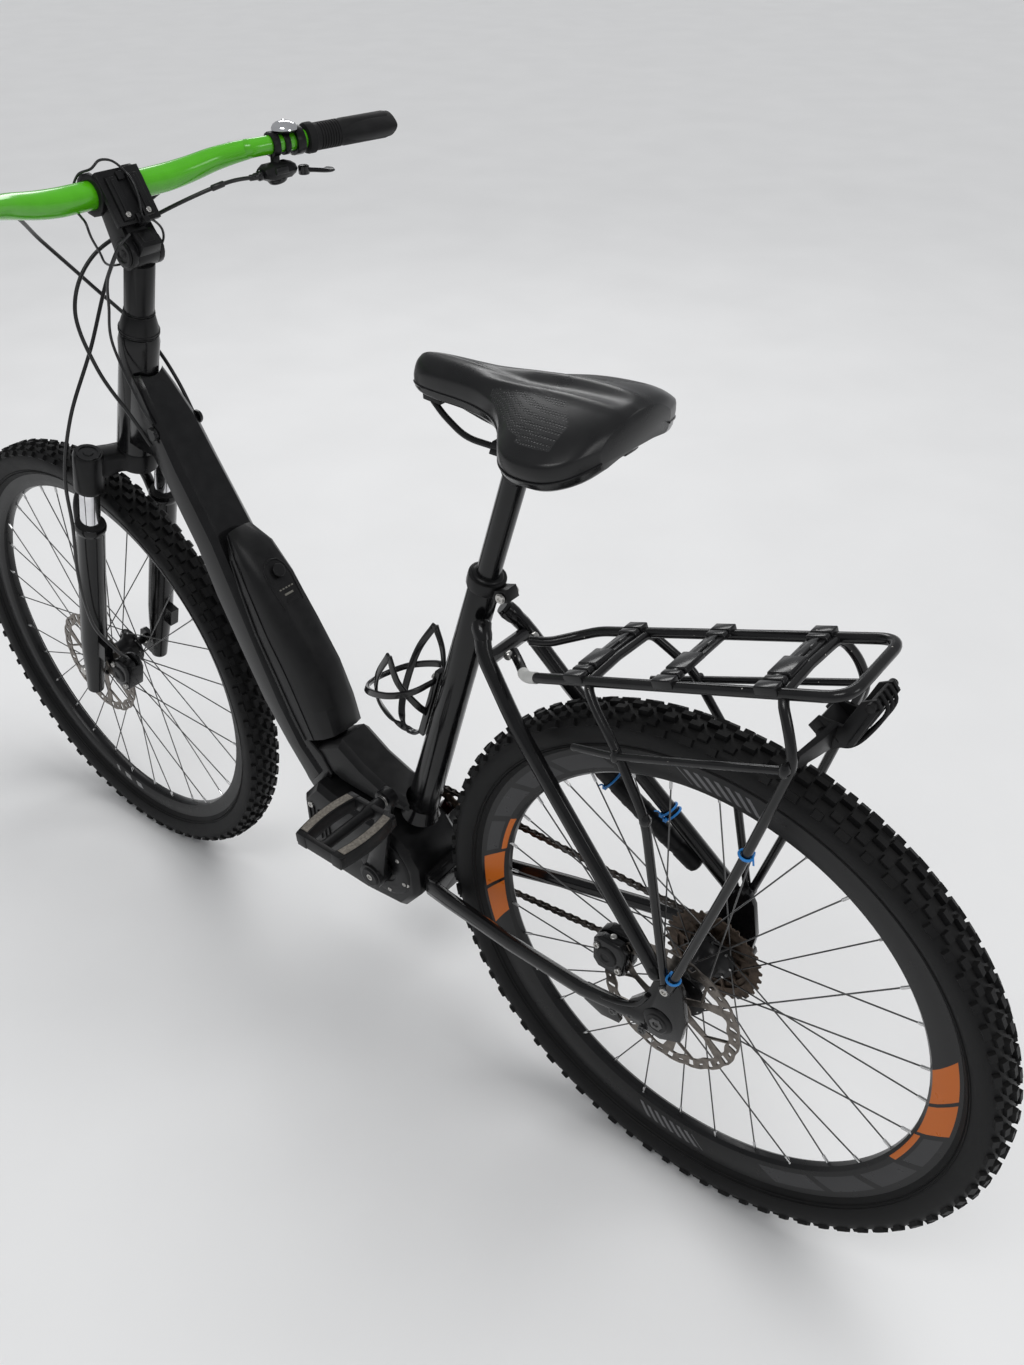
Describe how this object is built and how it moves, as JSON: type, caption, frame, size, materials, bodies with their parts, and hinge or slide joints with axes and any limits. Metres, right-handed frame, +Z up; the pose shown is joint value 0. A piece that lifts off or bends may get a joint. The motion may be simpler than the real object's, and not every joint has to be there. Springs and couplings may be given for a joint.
{
  "type": "electric bicycle",
  "caption": "Mid-motor electric bicycle with a down-tube battery, suspension fork, disc brakes, a derailleur drive, a rear rack and a swept bar.",
  "frame": {"origin": "on the ground under the middle of the bounding box, with both tyres standing on z = 0", "axes": "+X towards the front wheel, +Y towards the rider's left, +Z up"},
  "size_m": [1.844, 0.7554, 1.1854],
  "materials": {
    "satin_black_frame": "satin",
    "black_anodised": "satin",
    "black_plastic": "matte",
    "black_rubber": "matte",
    "tyre_rubber": "matte",
    "rim_black": "satin",
    "steel": "satin",
    "chrome": "polished",
    "lime_bar": "gloss",
    "dark_steel": "satin",
    "saddle_cover": "satin"
  },
  "bodies": {
    "frame": {"head_tube": "satin_black_frame", "seat_tube": "satin_black_frame", "seat_clamp": "black_anodised", "down_tube": "satin_black_frame", "battery_pack": "black_plastic", "motor_unit": "black_anodised", "motor_cover": "black_plastic", "seat_stay_left": "satin_black_frame", "seat_stay_right": "satin_black_frame", "chain_stay_left": "satin_black_frame", "chain_stay_right": "satin_black_frame", "rear_caliper": "black_anodised", "rear_derailleur": "black_anodised", "rear_rack": "satin_black_frame", "rear_lamp_bracket": "black_plastic", "frame_pump": "black_plastic", "bottle_cage": "black_plastic", "chain": "dark_steel"},
    "steering": {"fork_upper": "black_anodised", "cone_spacer": "black_anodised", "stem_riser": "black_anodised", "stem_arm": "black_anodised", "handlebar": "lime_bar", "grip_left": "black_rubber", "grip_right": "black_rubber", "brake_lever_body_left": "black_anodised", "brake_lever_body_right": "black_anodised", "shifter_body": "black_plastic", "bell": "chrome", "display_mount": "black_plastic", "front_brake_hose": "black_rubber", "rear_brake_hose": "black_rubber", "gear_cable": "black_rubber", "display_wire": "black_rubber"},
    "fork_lowers": {"fork_lowers": "satin_black_frame", "front_caliper": "black_anodised"},
    "front_wheel": {"front_tyre": "tyre_rubber", "front_rim": "rim_black", "front_hub_and_spokes": "steel", "front_brake_disc": "dark_steel"},
    "rear_wheel": {"rear_tyre": "tyre_rubber", "rear_rim": "rim_black", "rear_hub_and_spokes": "steel", "rear_brake_disc": "dark_steel"},
    "cassette": {"cassette": "dark_steel"},
    "crank": {"crank_left": "black_anodised", "crank_right": "black_anodised", "chainring": "dark_steel"},
    "pedal_left": {"pedal_left": "black_plastic"},
    "pedal_right": {"pedal_right": "black_plastic"},
    "guide_pulley": {"guide_pulley": "black_plastic"},
    "tension_pulley": {"tension_pulley": "black_plastic"},
    "brake_lever_left": {"brake_lever_left": "black_anodised"},
    "brake_lever_right": {"brake_lever_right": "black_anodised"},
    "shift_lever": {"shift_lever": "black_plastic"},
    "battery_button": {"battery_button": "black_plastic"},
    "seat": {"seat_post": "satin_black_frame", "saddle_rails": "steel", "saddle": "saddle_cover"}
  },
  "joints": [
    {"name": "steering_turn", "type": "hinge", "parent": "frame", "child": "steering", "pos_m": [0.51345, 0, 0.35135], "axis": [-0.3256, 0, 0.9455], "range_deg": [-45, 45], "deforming": ["rear_brake_hose", "gear_cable", "display_wire"]},
    {"name": "fork_travel", "type": "slide", "parent": "steering", "child": "fork_lowers", "axis": [-0.3256, 0, 0.9455], "range_m": [0, 0.055], "stiffness_N_per_m": 6000, "springref_m": -0.01, "deforming": ["front_brake_hose"]},
    {"name": "front_wheel_spin", "type": "hinge", "parent": "fork_lowers", "child": "front_wheel", "pos_m": [0.556, 0, 0.366], "axis": [0, 1, 0], "continuous": true},
    {"name": "rear_wheel_spin", "type": "hinge", "parent": "frame", "child": "rear_wheel", "pos_m": [-0.556, 0, 0.366], "axis": [0, 1, 0], "continuous": true},
    {"name": "crank_spin", "type": "hinge", "parent": "frame", "child": "crank", "pos_m": [-0.099, 0, 0.312], "axis": [0, 1, 0], "continuous": true},
    {"name": "cassette_spin", "type": "hinge", "parent": "frame", "child": "cassette", "pos_m": [-0.556, 0, 0.366], "axis": [0, 1, 0], "continuous": true},
    {"name": "guide_pulley_spin", "type": "hinge", "parent": "frame", "child": "guide_pulley", "pos_m": [-0.58, -0.054, 0.316], "axis": [0, 1, 0], "continuous": true},
    {"name": "tension_pulley_spin", "type": "hinge", "parent": "frame", "child": "tension_pulley", "pos_m": [-0.522, -0.054, 0.318], "axis": [0, 1, 0], "continuous": true},
    {"name": "pedal_left_spin", "type": "hinge", "parent": "crank", "child": "pedal_left", "pos_m": [-0.14386, 0.15, 0.47597], "axis": [0, 1, 0], "continuous": true},
    {"name": "pedal_right_spin", "type": "hinge", "parent": "crank", "child": "pedal_right", "pos_m": [-0.05414, -0.15, 0.14802], "axis": [0, 1, 0], "continuous": true},
    {"name": "brake_lever_left_pull", "type": "hinge", "parent": "steering", "child": "brake_lever_left", "pos_m": [0.28318, 0.214, 1.13421], "axis": [0, 0, 1], "range_deg": [0, 20], "stiffness_Nm_per_rad": 0.6, "springref_deg": -8.59},
    {"name": "brake_lever_right_pull", "type": "hinge", "parent": "steering", "child": "brake_lever_right", "pos_m": [0.28318, -0.214, 1.13421], "axis": [0, 0, -1], "range_deg": [0, 20], "stiffness_Nm_per_rad": 0.6, "springref_deg": -8.59},
    {"name": "shift_lever_push", "type": "hinge", "parent": "steering", "child": "shift_lever", "pos_m": [0.23318, -0.24, 1.11421], "axis": [0, 0, 1], "range_deg": [0, 25], "stiffness_Nm_per_rad": 0.15, "springref_deg": -11.46},
    {"name": "battery_button_press", "type": "slide", "parent": "frame", "child": "battery_button", "axis": [0.8211, 0, -0.5708], "range_m": [0, 0.0015], "stiffness_N_per_m": 400, "springref_m": -0.001},
    {"name": "seat_height", "type": "slide", "parent": "frame", "child": "seat", "axis": [-0.3024, 0, 0.9532], "range_m": [-0.06, 0.08]}
  ],
  "couplings": [
    {"joint": "cassette_spin", "follows": "crank_spin", "ratio": 2.4},
    {"joint": "guide_pulley_spin", "follows": "crank_spin", "ratio": -3.2727},
    {"joint": "tension_pulley_spin", "follows": "crank_spin", "ratio": 3.2727}
  ]
}
